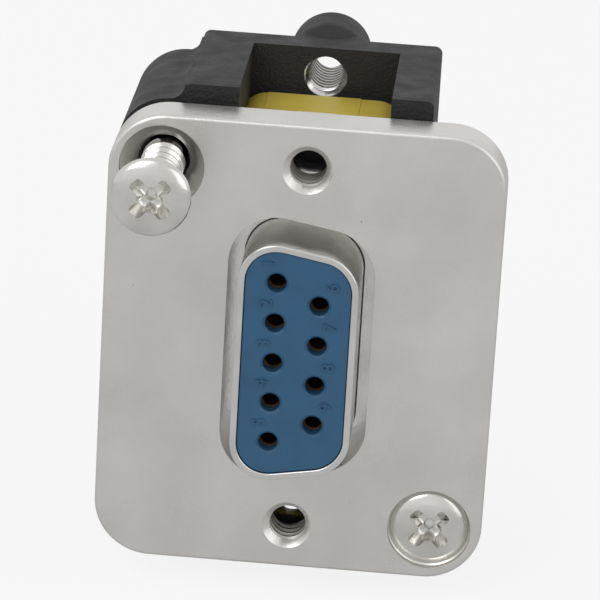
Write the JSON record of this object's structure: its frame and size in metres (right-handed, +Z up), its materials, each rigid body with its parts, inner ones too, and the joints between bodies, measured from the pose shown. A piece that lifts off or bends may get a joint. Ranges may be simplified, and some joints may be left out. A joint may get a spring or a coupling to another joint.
{
  "type": "panel-mount d-sub feed-through connector",
  "caption": "D-sub feed-through connector: plated panel flange with a socket connector in front and, in a plastic housing behind it, a pin connector.",
  "frame": {"origin": "centre of the flange plate's front face, midway between the two jack-screw holes", "axes": "+X to the right as seen from the front, +Y behind the panel (rear), +Z up"},
  "size_m": [0.026, 0.0291, 0.0344],
  "materials": {
    "plate": "satin nickel plate on a die casting",
    "shell": "bright nickel-plated steel",
    "insulator": "satin moulded",
    "contact": "gold-flashed",
    "hardware": "bright nickel plate",
    "block": "moulded",
    "wrap": "polyester film tape",
    "housing": "fine textured moulding"
  },
  "bodies": {
    "root": {"flange_plate": "plate", "front_shell": "shell", "front_insulator": "insulator", "contact_1": "contact", "contact_2": "contact", "contact_3": "contact", "contact_4": "contact", "contact_5": "contact", "contact_6": "contact", "contact_7": "contact", "contact_8": "contact", "contact_9": "contact", "front_nut_top": "hardware", "front_nut_bottom": "hardware", "inner_block": "block", "insulating_wrap": "wrap", "rear_insulator": "insulator", "rear_shell": "shell", "housing": "housing", "rear_insert_top": "hardware", "rear_insert_bottom": "hardware", "screw_upper": "hardware", "screw_lower": "hardware"}
  },
  "joints": []
}
